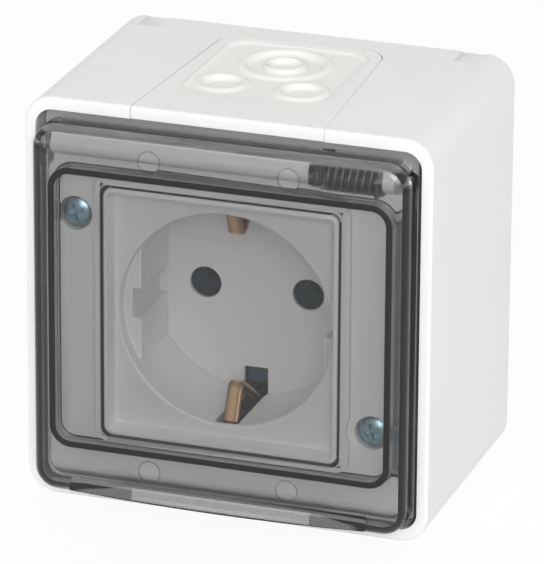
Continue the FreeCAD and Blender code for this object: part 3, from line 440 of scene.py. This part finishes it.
def near(tree, value, middle, reach, soft=0.0001):
    """1 where the value lies within a reach of the middle, and 0 past a soft edge."""
    off = worked(tree, "ABSOLUTE", worked(tree, "SUBTRACT", value, middle))
    return ramped(tree, off, (reach, reach + soft), 1.0, 0.0)


def distance(tree, across, up):
    squares = [worked(tree, "MULTIPLY", side, side) for side in (across, up)]
    return worked(tree, "SQRT", worked(tree, "ADD", *squares))


def painted_light_walls(tree, axes):
    """1 on the inner walls of the rim, the rounded mouth, and the walls of the well and guides,
    which are lit up in the colour as painted light.
    """
    off_axis = distance(tree, axes["X"], axes["Z"])
    tray_edge = ramped(tree, beyond(tree, axes, *TRAY_WALL), (-TRAY_WALL_EDGE, 0.0))
    tray_wall = worked(tree, "MULTIPLY", tray_edge,
                       near(tree, axes["Y"], (INSERT_FRONT + TRAY_FLOOR) / 2, TRAY_WALL_REACH,
                            soft=0.0002))
    mouth = worked(tree, "MULTIPLY", near(tree, off_axis, MOUTH_RADIUS, MOUTH_REACH),
                   near(tree, axes["Y"], TRAY_FLOOR, MOUTH_DEPTH_REACH))
    well_wall = near(tree, off_axis, WELL_RADIUS, WELL_WALL_REACH)
    guide_wall = near(tree, worked(tree, "ABSOLUTE", axes["X"]), GUIDE_FACE, GUIDE_WALL_REACH)
    in_well = near(tree, axes["Y"], (TRAY_FLOOR + WELL_FLOOR) / 2, WELL_DEPTH_REACH)
    walls = worked(tree, "MULTIPLY", worked(tree, "MAXIMUM", well_wall, guide_wall), in_well)
    return worked(tree, "MAXIMUM", tray_wall, mouth, walls)


insert_moulding = moulding_material("insert_moulding", INSERT_MOULDING, rough=0.36)
tree = insert_moulding.node_tree
axes = object_axes(tree)
# Painted shade: the outer walls and all behind the well floor take the dark gap colour.
outer_edge = ramped(tree, beyond(tree, axes, *INSERT_HALF), (-OUTER_WALL_EDGE, 0.0))
outer_wall = worked(tree, "MULTIPLY", outer_edge, ramped(tree, axes["Y"], OUTER_WALL_STARTS))
holes = ramped(tree, axes["Y"], BEHIND_WELL)
shaded_where(tree, worked(tree, "MAXIMUM", outer_wall, holes), GAP_SHADE)
# Painted light: these walls are made lighter than the moulding's own colour.
shaded_where(tree, painted_light_walls(tree, axes), WALL_LIGHT)


def deeper_guide_and_sloping_tray(corner):
    """The right guide starts deeper in the well than the left one, and the inner walls of the
    rim slope down to the face."""
    at_right_guide = (math.hypot(corner.x, corner.z) < WELL_RADIUS + 2 * HAIR
                      and corner.x > GUIDE_FACE - 2 * HAIR)
    if at_right_guide and abs(corner.y - GUIDE_FRONT) < HAIR:
        corner.y += GUIDE_SINK
    outside = max(abs(corner.x) - TRAY_INSIDE[0], abs(corner.z) - TRAY_INSIDE[1])
    if outside > 0 and abs(corner.y - TRAY_FLOOR) < HAIR:
        corner.x *= 1 - TRAY_SLOPE[0] / INSERT_HALF[0]
        corner.z *= 1 - TRAY_SLOPE[1] / INSERT_HALF[1]
    return corner


insert = dressed("socket_insert", bevel=0.0003, segments=3, reshape=deeper_guide_and_sloping_tray)
finish_with(insert, insert_moulding)

# Contacts and their carrier
# A blue-grey thermoset block behind the well holds the stamped brass contacts. The two sleeves
# are a dark blue-grey metal, painted shade that keeps the pin holes dark, and the earth clips
# are darkened towards their edges, a painted highlight along the middle.
CARRIER = (0.050, 0.095, 0.135)
BRASS = (0.95, 0.62, 0.31)
SLEEVE_SHADE = (0.060, 0.110, 0.150)
LIT_MIDDLE_HALF = (0.0003, 0.0011)
EDGE_SHADE = (0.50, 0.50, 0.62)


def metal_material(name, color, rough):
    material, tree, shader = new_material(name)
    shader.inputs["Metallic"].default_value = 1.0
    tinted(tree, shader, scale=350, first=shade(color, 0.9), second=color)
    uneven(tree, shader.inputs["Roughness"], scale=900, low=rough - 0.05, high=rough + 0.06)
    grain(tree, shader, scale=3000, strength=0.08, height=0.00002)
    return material


made_of(nodes["contact_carrier"], moulding_material("carrier_moulding", CARRIER, rough=0.6))
contact_brass = metal_material("contact_brass", BRASS, rough=0.24)
for name in ("live_clamp", "neutral_clamp", "earth_clamp"):
    made_of(nodes[name], contact_brass)
# Painted shade: the two sleeves get a dark blue-grey metal so the pin holes look dark.
shaded_sleeve_metal = metal_material("shaded_sleeve_metal", SLEEVE_SHADE, rough=0.6)
for name in ("live_contact", "neutral_contact"):
    made_of(nodes[name], shaded_sleeve_metal)
earth_brass = metal_material("earth_brass", BRASS, rough=0.34)
tree = earth_brass.node_tree
# Painted highlight: the clip's colour is darkened towards its side edges, so its middle looks lit.
off_middle = worked(tree, "ABSOLUTE", object_axes(tree)["X"])
shaded_where(tree, ramped(tree, off_middle, LIT_MIDDLE_HALF), EDGE_SHADE)
earth_bracket = dressed("earth_bracket", bevel=0.00042, segments=5)
finish_with(earth_bracket, earth_brass)

# Screws
# Blue zinc plated steel with a cross recess. The two plate screws show beside the collar, and
# the clamp and carrier screws sit behind the insert.
ZINC = (0.46, 0.66, 0.74)
zinc = metal_material("blue_zinc", ZINC, rough=0.3)
for name in ("terminal_screws", "carrier_screws"):
    made_of(nodes[name], zinc)
plate_screws = dressed("plate_screws", bevel=0.00008, angle=35)
finish_with(plate_screws, zinc)

# Seals
# Black rubber: the ring under the front plate, and the flat ring in the groove of the front
# plate that the rib of the lid closes on.
RUBBER = (0.012, 0.012, 0.013)
black_rubber = moulding_material("black_rubber", RUBBER, rough=0.7)
made_of(nodes["front_plate_seal"], black_rubber)
gasket = dressed("lid_gasket", bevel=0.00015)
finish_with(gasket, black_rubber)

# Hinge pins
# Two plain steel pins, pressed into the hinge barrel and the lug at the top of the front plate.
# The lid turns on them, and the right one also carries the spring.
PIN_STEEL = (0.45, 0.45, 0.46)
steel = metal_material("plain_steel", PIN_STEEL, rough=0.35)
for name in ("left_hinge_pin", "right_hinge_pin"):
    made_of(nodes[name], steel)

# Lid spring
# A close coil of dark spring wire on the long pin. One end presses up under the lid, the other
# lies down on the deck, so the coil winds up as the lid opens.
SPRING_STEEL = (0.16, 0.16, 0.17)
SPRING_FIRST = Vector((0.0182, -0.0497, 0.0295))
SPRING_LENGTH = 0.0102
SPRING_RADIUS = 0.00185
SPRING_WIRE = 0.00043
SPRING_TURNS = 8.0
SPRING_LEG_UP = 0.0025
SPRING_LEG_DOWN = 0.0021
SPRING_TURN_STEPS = 24
SPRING_WIRE_SIDES = 12
SPRING_ALONG_X = (math.radians(-90), 0, math.radians(-90))
dark_wire = metal_material("dark_wire", SPRING_STEEL, rough=0.4)


def spring_tree():
    """Helix along X from the first coil, a straight leg at each end, all as round wire."""
    tree = bpy.data.node_groups.new("torsion_spring", "GeometryNodeTree")
    tree.interface.new_socket("Geometry", in_out="OUTPUT", socket_type="NodeSocketGeometry")
    for name, kind, value in (("Turns", "NodeSocketFloat", SPRING_TURNS),
                              ("Radius", "NodeSocketFloat", SPRING_RADIUS),
                              ("Length", "NodeSocketFloat", SPRING_LENGTH),
                              ("Wire", "NodeSocketFloat", SPRING_WIRE),
                              ("Leg Up", "NodeSocketFloat", SPRING_LEG_UP),
                              ("Leg Down", "NodeSocketFloat", SPRING_LEG_DOWN),
                              ("Material", "NodeSocketMaterial", dark_wire)):
        socket = tree.interface.new_socket(name, in_out="INPUT", socket_type=kind)
        socket.default_value = value
    given = add_node(tree, "NodeGroupInput").outputs
    links = tree.links
    coil = add_node(tree, "GeometryNodeCurveSpiral", Resolution=SPRING_TURN_STEPS)
    for name, socket in (("Turns", "Rotations"), ("Radius", "Start Radius"),
                         ("Radius", "End Radius"), ("Length", "Height")):
        links.new(given[name], coil.inputs[socket])
    laid = add_node(tree, "GeometryNodeTransform", Rotation=SPRING_ALONG_X)
    links.new(coil.outputs["Curve"], laid.inputs["Geometry"])
    wires = add_node(tree, "GeometryNodeJoinGeometry")
    links.new(laid.outputs["Geometry"], wires.inputs["Geometry"])
    front = worked(tree, "MULTIPLY", given["Radius"], -1)
    for leg, way, along in (("Leg Up", 1, None), ("Leg Down", -1, "Length")):
        first = add_node(tree, "ShaderNodeCombineXYZ")
        last = add_node(tree, "ShaderNodeCombineXYZ")
        for end in (first, last):
            links.new(front, end.inputs["Y"])
            if along:
                links.new(given[along], end.inputs["X"])
        links.new(worked(tree, "MULTIPLY", given[leg], way), last.inputs["Z"])
        line = add_node(tree, "GeometryNodeCurvePrimitiveLine")
        links.new(first.outputs[0], line.inputs["Start"])
        links.new(last.outputs[0], line.inputs["End"])
        links.new(line.outputs["Curve"], wires.inputs["Geometry"])
    section = add_node(tree, "GeometryNodeCurvePrimitiveCircle", Resolution=SPRING_WIRE_SIDES)
    links.new(given["Wire"], section.inputs["Radius"])
    tube = add_node(tree, "GeometryNodeCurveToMesh")
    tube.inputs["Fill Caps"].default_value = True
    links.new(wires.outputs["Geometry"], tube.inputs["Curve"])
    links.new(section.outputs["Curve"], tube.inputs["Profile Curve"])
    real = add_node(tree, "GeometryNodeRealizeInstances")
    links.new(tube.outputs["Mesh"], real.inputs["Geometry"])
    wire = add_node(tree, "GeometryNodeSetMaterial")
    links.new(real.outputs["Geometry"], wire.inputs["Geometry"])
    links.new(given["Material"], wire.inputs["Material"])
    out = add_node(tree, "NodeGroupOutput")
    links.new(wire.outputs["Geometry"], out.inputs["Geometry"])
    return tree


def mesh_from_tree(name, tree):
    """The result of a node tree as a plain mesh object."""
    maker = new_object(name + "_maker", bpy.data.meshes.new(name + "_maker"))
    maker.modifiers.new("maker", "NODES").node_group = tree
    graph = bpy.context.evaluated_depsgraph_get()
    mesh = bpy.data.meshes.new_from_object(maker.evaluated_get(graph), depsgraph=graph)
    bpy.data.objects.remove(maker)
    return new_object(name, mesh)


spring = mesh_from_tree("lid_spring_wire", spring_tree())
spring.data.transform(Matrix.Translation(SPRING_FIRST))
spring.data.shade_smooth()
spring.data.set_sharp_from_angle(angle=math.radians(40))
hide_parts("lid_spring")
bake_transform(spring)

# Lid
# Injection-moulded smoke-grey clear plastic, polished outside. Inside, its border beyond the
# sealing rib is spark-eroded, and the finger lip is eroded on both faces, so it looks frosted.
SMOKE_TINT = (0.99, 0.99, 0.992)
SMOKE_DEPTH = (0.30, 0.30, 0.303)
SMOKE_DENSITY = 510.0
CLEAR_ROUGH = 0.02
LID_INNER = -0.0525
LID_INNER_REACH = 0.0001
CLEAR_HALF = (0.0320, 0.0266)
BORDER_EDGE = 0.0012
BORDER_FROST = 0.5
FROST_ROUGH = (0.16, 0.34)
FROST_SIZES = (2600, 700)
FROST_STRENGTH = 0.6
FROST_HEIGHT = 0.00006
MARK_PLACE = (0.0128, 0.0291)
MARK_RADIUS = 0.0020
MARK_EDGE = 0.0001
MARK_FROST = 0.35
MARK_LINE = (0.45, 0.45, 0.45)
MARK_LINE_REACH = 0.00008
MARK_LINE_DEPTH_REACH = 0.0003
LIP_ROOT = (-0.0297, -0.0316)
LIP_ROOT_REACH = 0.0022
LIP_ROOT_HALF = 0.0175
LIP_ROOT_SHARE = 0.75
LIP_MIDDLE = -0.0330
LIP_REACH = 0.0011
LIP_PROUD = (-0.05446, -0.05436)
LIP_TAPER = 0.19
LIP_CLOUD = 0.45
GRIP_MIDDLE = 0.0010
GRIP_HALF = 0.0165
GRIP_CLEAR = 0.75
TOP_HAZE = (0.0326, 0.0331)
TOP_HAZE_DEPTHS = (-0.0524, -0.0518)
TOP_HAZE_SHARE = (0.35, 0.75)
STREAK_SCALE = (90, 1600, 1600)
RIGHT_FLANK = (0.0342, 0.0347)
FLANK_DEPTHS = (-0.0525, -0.0495)
FLANK_SHADE = (0.02, 0.02, 0.02)
LIP_CORNERS = -0.0535
LIP_HANGS_FROM = -0.0342
LIP_HANG = 0.3


def from_mark(tree, axes):
    """Distance from the middle of the nearest of the four round ejector marks."""
    sides = [worked(tree, "SUBTRACT", worked(tree, "ABSOLUTE", axes[name]), place)
             for name, place in zip(("X", "Z"), MARK_PLACE)]
    return distance(tree, *sides)


def lip_root(tree, axes):
    """Rises to its share of 1 over the lip's root, and fades out towards the lip's ends. It frosts
    the root, and it darkens the root's colour as painted shade.
    """
    rising = ramped(tree, axes["Z"], LIP_ROOT, 0.0, LIP_ROOT_SHARE)
    along = near(tree, axes["X"], GRIP_MIDDLE, LIP_ROOT_HALF, soft=0.004)
    return worked(tree, "MULTIPLY", rising, along,
                  near(tree, axes["Z"], LIP_ROOT[0], LIP_ROOT_REACH, soft=0.0002))


def lip_face(tree, axes):
    """1 on the proud front of the lip, whose upper edge runs down beyond the grip."""
    off_grip = worked(tree, "ABSOLUTE", worked(tree, "SUBTRACT", axes["X"], GRIP_MIDDLE))
    past_grip = worked(tree, "MAXIMUM", worked(tree, "SUBTRACT", off_grip, GRIP_HALF), 0.0)
    level = worked(tree, "ADD", axes["Z"], worked(tree, "MULTIPLY", past_grip, LIP_TAPER))
    top = LIP_MIDDLE + LIP_REACH
    return worked(tree, "MULTIPLY", ramped(tree, axes["Y"], LIP_PROUD, 1.0, 0.0),
                  near(tree, axes["Z"], LIP_MIDDLE, LIP_REACH, soft=0.0002),
                  ramped(tree, level, (top, top + 0.0002), 1.0, 0.0))


def top_haze(tree, axes, place):
    """Faint streaks along the upper edge of the lid's front."""
    drawn = add_node(tree, "ShaderNodeMapping", Scale=STREAK_SCALE)
    tree.links.new(place, drawn.inputs["Vector"])
    streaks = ramped(tree, noisy(tree, drawn.outputs["Vector"], 1.0), (0.35, 0.65),
                     *TOP_HAZE_SHARE)
    haze = worked(tree, "MULTIPLY", ramped(tree, axes["Z"], TOP_HAZE),
                  ramped(tree, axes["Y"], TOP_HAZE_DEPTHS, 1.0, 0.0))
    return worked(tree, "MULTIPLY", haze, streaks)


def frosted(tree, shader, frost, place):
    """Roughens the surface and pits it where the frost mask is above 0."""
    eroded = noisy(tree, place, FROST_SIZES[0])
    blotched = noisy(tree, place, FROST_SIZES[1], detail=4.0, rough=0.65)
    roughness = worked(tree, "MULTIPLY", frost, ramped(tree, blotched, (0.3, 0.7), *FROST_ROUGH))
    tree.links.new(worked(tree, "ADD", roughness, CLEAR_ROUGH), shader.inputs["Roughness"])
    pits = worked(tree, "ADD", worked(tree, "MULTIPLY", eroded, 0.6), blotched)
    bump = add_node(tree, "ShaderNodeBump", Distance=FROST_HEIGHT)
    tree.links.new(worked(tree, "MULTIPLY", frost, FROST_STRENGTH), bump.inputs["Strength"])
    tree.links.new(pits, bump.inputs["Height"])
    tree.links.new(bump.outputs["Normal"], shader.inputs["Normal"])


def clear_with_depth(tree, shader):
    """Lets the lamp shine through, and darkens what is seen by how deep the plastic is."""
    output = tree.nodes["Material Output"]
    clear = add_node(tree, "ShaderNodeBsdfTransparent", Color=(*SMOKE_TINT, 1))
    mix = add_node(tree, "ShaderNodeMixShader")
    ray = add_node(tree, "ShaderNodeLightPath")
    tree.links.new(ray.outputs["Is Shadow Ray"], mix.inputs["Fac"])
    tree.links.new(shader.outputs["BSDF"], mix.inputs[1])
    tree.links.new(clear.outputs["BSDF"], mix.inputs[2])
    tree.links.new(mix.outputs["Shader"], output.inputs["Surface"])
    smoke = add_node(tree, "ShaderNodeVolumeAbsorption", Color=(*SMOKE_DEPTH, 1),
                     Density=SMOKE_DENSITY)
    tree.links.new(smoke.outputs["Volume"], output.inputs["Volume"])


def smoke_material(name):
    material, tree, shader = new_material(name)
    shader.inputs["IOR"].default_value = 1.49
    place = object_place(tree)
    axes = object_axes(tree)
    inner = near(tree, axes["Y"], LID_INNER, LID_INNER_REACH, soft=0.0002)
    off_mark = from_mark(tree, axes)
    root = lip_root(tree, axes)
    face = lip_face(tree, axes)
    grip = worked(tree, "MULTIPLY", face,
                  near(tree, axes["X"], GRIP_MIDDLE, GRIP_HALF, soft=0.0003))
    border = ramped(tree, beyond(tree, axes, *CLEAR_HALF), (0.0, BORDER_EDGE), 0.0, BORDER_FROST)
    round_mark = ramped(tree, off_mark, (MARK_RADIUS - MARK_EDGE, MARK_RADIUS), MARK_FROST, 1.0)
    frost = worked(tree, "MAXIMUM", worked(tree, "MULTIPLY", border, inner, round_mark),
                   worked(tree, "MULTIPLY", root, inner), face)
    frosted(tree, shader, frost, place)
    mark_line = worked(tree, "MULTIPLY", near(tree, off_mark, MARK_RADIUS, MARK_LINE_REACH),
                       near(tree, axes["Y"], LID_INNER + 0.0001, MARK_LINE_DEPTH_REACH))
    # Base colour takes the dark line tone on the real ejector mark lines, and along the lip's root
    # as painted shade.
    line = add_node(tree, "ShaderNodeMix", data_type="RGBA")
    line.inputs["A"].default_value = (*SMOKE_TINT, 1)
    line.inputs["B"].default_value = (*MARK_LINE, 1)
    tree.links.new(worked(tree, "MAXIMUM", mark_line, root), line.inputs["Factor"])
    tree.links.new(line.outputs["Result"], shader.inputs["Base Color"])
    # Painted shade: the lid's right flank is darkened nearly to black towards the rim.
    flank = worked(tree, "MULTIPLY", ramped(tree, axes["X"], RIGHT_FLANK),
                   ramped(tree, axes["Y"], FLANK_DEPTHS))
    shaded_where(tree, flank, FLANK_SHADE)
    clouded = worked(tree, "MAXIMUM", grip, worked(tree, "MULTIPLY", face, LIP_CLOUD),
                     top_haze(tree, axes, place))
    tree.links.new(ramped(tree, clouded, (0.0, 1.0), 1.0, GRIP_CLEAR),
                   shader.inputs["Transmission Weight"])
    clear_with_depth(tree, shader)
    return material


def flatter_lip(corner):
    """The lip hangs only a little below the lid's lower edge."""
    if corner.y < LIP_CORNERS and corner.z < LIP_HANGS_FROM:
        corner.z = LIP_HANGS_FROM + (corner.z - LIP_HANGS_FROM) * LIP_HANG
    return corner


lid = dressed("lid", bevel=0.00012, reshape=flatter_lip)
finish_with(lid, smoke_material("smoke_plastic"))

# Floor
# A plain white floor in one sheet, a hair below the box. The camera sees it nearly as bright as
# the backdrop, and it keeps the soft shadow of the box.
FLOOR = (0.97, 0.97, 0.97)
FLOOR_SIZE = 8
FLOOR_SEEN = 0.91
bpy.ops.mesh.primitive_plane_add(size=FLOOR_SIZE, location=(0, 0, cad_box[0].z - HAIR))
floor = bpy.context.active_object
floor.name = "studio_floor"
floor_material, tree, shader = new_material("studio_floor")
tinted(tree, shader, scale=3, first=shade(FLOOR, 0.99), second=FLOOR)
shader.inputs["Roughness"].default_value = 0.9


def seen_ray(tree):
    """1 for rays from the camera, a mirror or a window, and 0 for those that light the box."""
    ray = add_node(tree, "ShaderNodeLightPath")
    return worked(tree, "MAXIMUM", *(ray.outputs[name] for name in (
        "Is Camera Ray", "Is Glossy Ray", "Is Transmission Ray")))


white = add_node(tree, "ShaderNodeEmission", Strength=1.0)
blend = add_node(tree, "ShaderNodeMixShader")
tree.links.new(worked(tree, "MULTIPLY", seen_ray(tree), FLOOR_SEEN), blend.inputs["Fac"])
tree.links.new(shader.outputs["BSDF"], blend.inputs[1])
tree.links.new(white.outputs["Emission"], blend.inputs[2])
tree.links.new(blend.outputs["Shader"], tree.nodes["Material Output"].inputs["Surface"])
made_of(floor, floor_material)

# Light
# An even white room that fills the shade, seen as plain white behind the box, and one broad
# soft lamp in front, above and to the right.
ROOM_LIGHT = 0.72
KEY_PLACE = Vector((0.34, -1.02, 0.44))
KEY_SIZE = 0.6
KEY_POWER = 7.6
world = bpy.data.worlds.new("studio")
bpy.context.scene.world = world
world.use_nodes = True
tree = world.node_tree
room = tree.nodes["Background"]
room.inputs["Color"].default_value = (1, 1, 1, 1)
tree.links.new(ramped(tree, seen_ray(tree), (0.0, 1.0), ROOM_LIGHT, 1.0), room.inputs["Strength"])
key_light = bpy.data.lights.new("key", "AREA")
key_light.size = KEY_SIZE
key_light.energy = KEY_POWER
key = new_object("key", key_light)
key.location = KEY_PLACE
key.rotation_euler = (-KEY_PLACE).to_track_quat("-Z", "Y").to_euler()

# Camera
# A long lens high in front of the right corner, as in the photograph. Its direction and lens
# were fitted to the corners of the box, and its place is measured from the middle of the rim.
FRAME_LONG_SIDE = 564
SENSOR = 36.0
FOCAL_PIXELS = 5626.0
AZIMUTH, ELEVATION, ROLL = (math.radians(angle) for angle in (18.87, 20.95, 0.36))
RIM_CENTRE = Vector((0, -0.049, 0))
IN_CAMERA = Vector((-0.00807, -0.00665, 0.9857))
back = Vector((math.sin(AZIMUTH) * math.cos(ELEVATION), -math.cos(AZIMUTH) * math.cos(ELEVATION),
               math.sin(ELEVATION)))
level_right = Vector((math.cos(AZIMUTH), math.sin(AZIMUTH), 0))
level_up = back.cross(level_right)
right = level_right * math.cos(ROLL) + level_up * math.sin(ROLL)
up = level_up * math.cos(ROLL) - level_right * math.sin(ROLL)
place = RIM_CENTRE - right * IN_CAMERA.x - up * IN_CAMERA.y + back * IN_CAMERA.z
camera_data = bpy.data.cameras.new("camera")
camera_data.sensor_width = SENSOR
camera_data.lens = FOCAL_PIXELS / FRAME_LONG_SIDE * SENSOR
camera_data.clip_start, camera_data.clip_end = 0.1, 20
camera = new_object("camera", camera_data)
camera.matrix_world = Matrix.Translation(place) @ Matrix((right, up, back)).transposed().to_4x4()
bpy.context.scene.camera = camera
bpy.context.scene.view_settings.view_transform = "Standard"
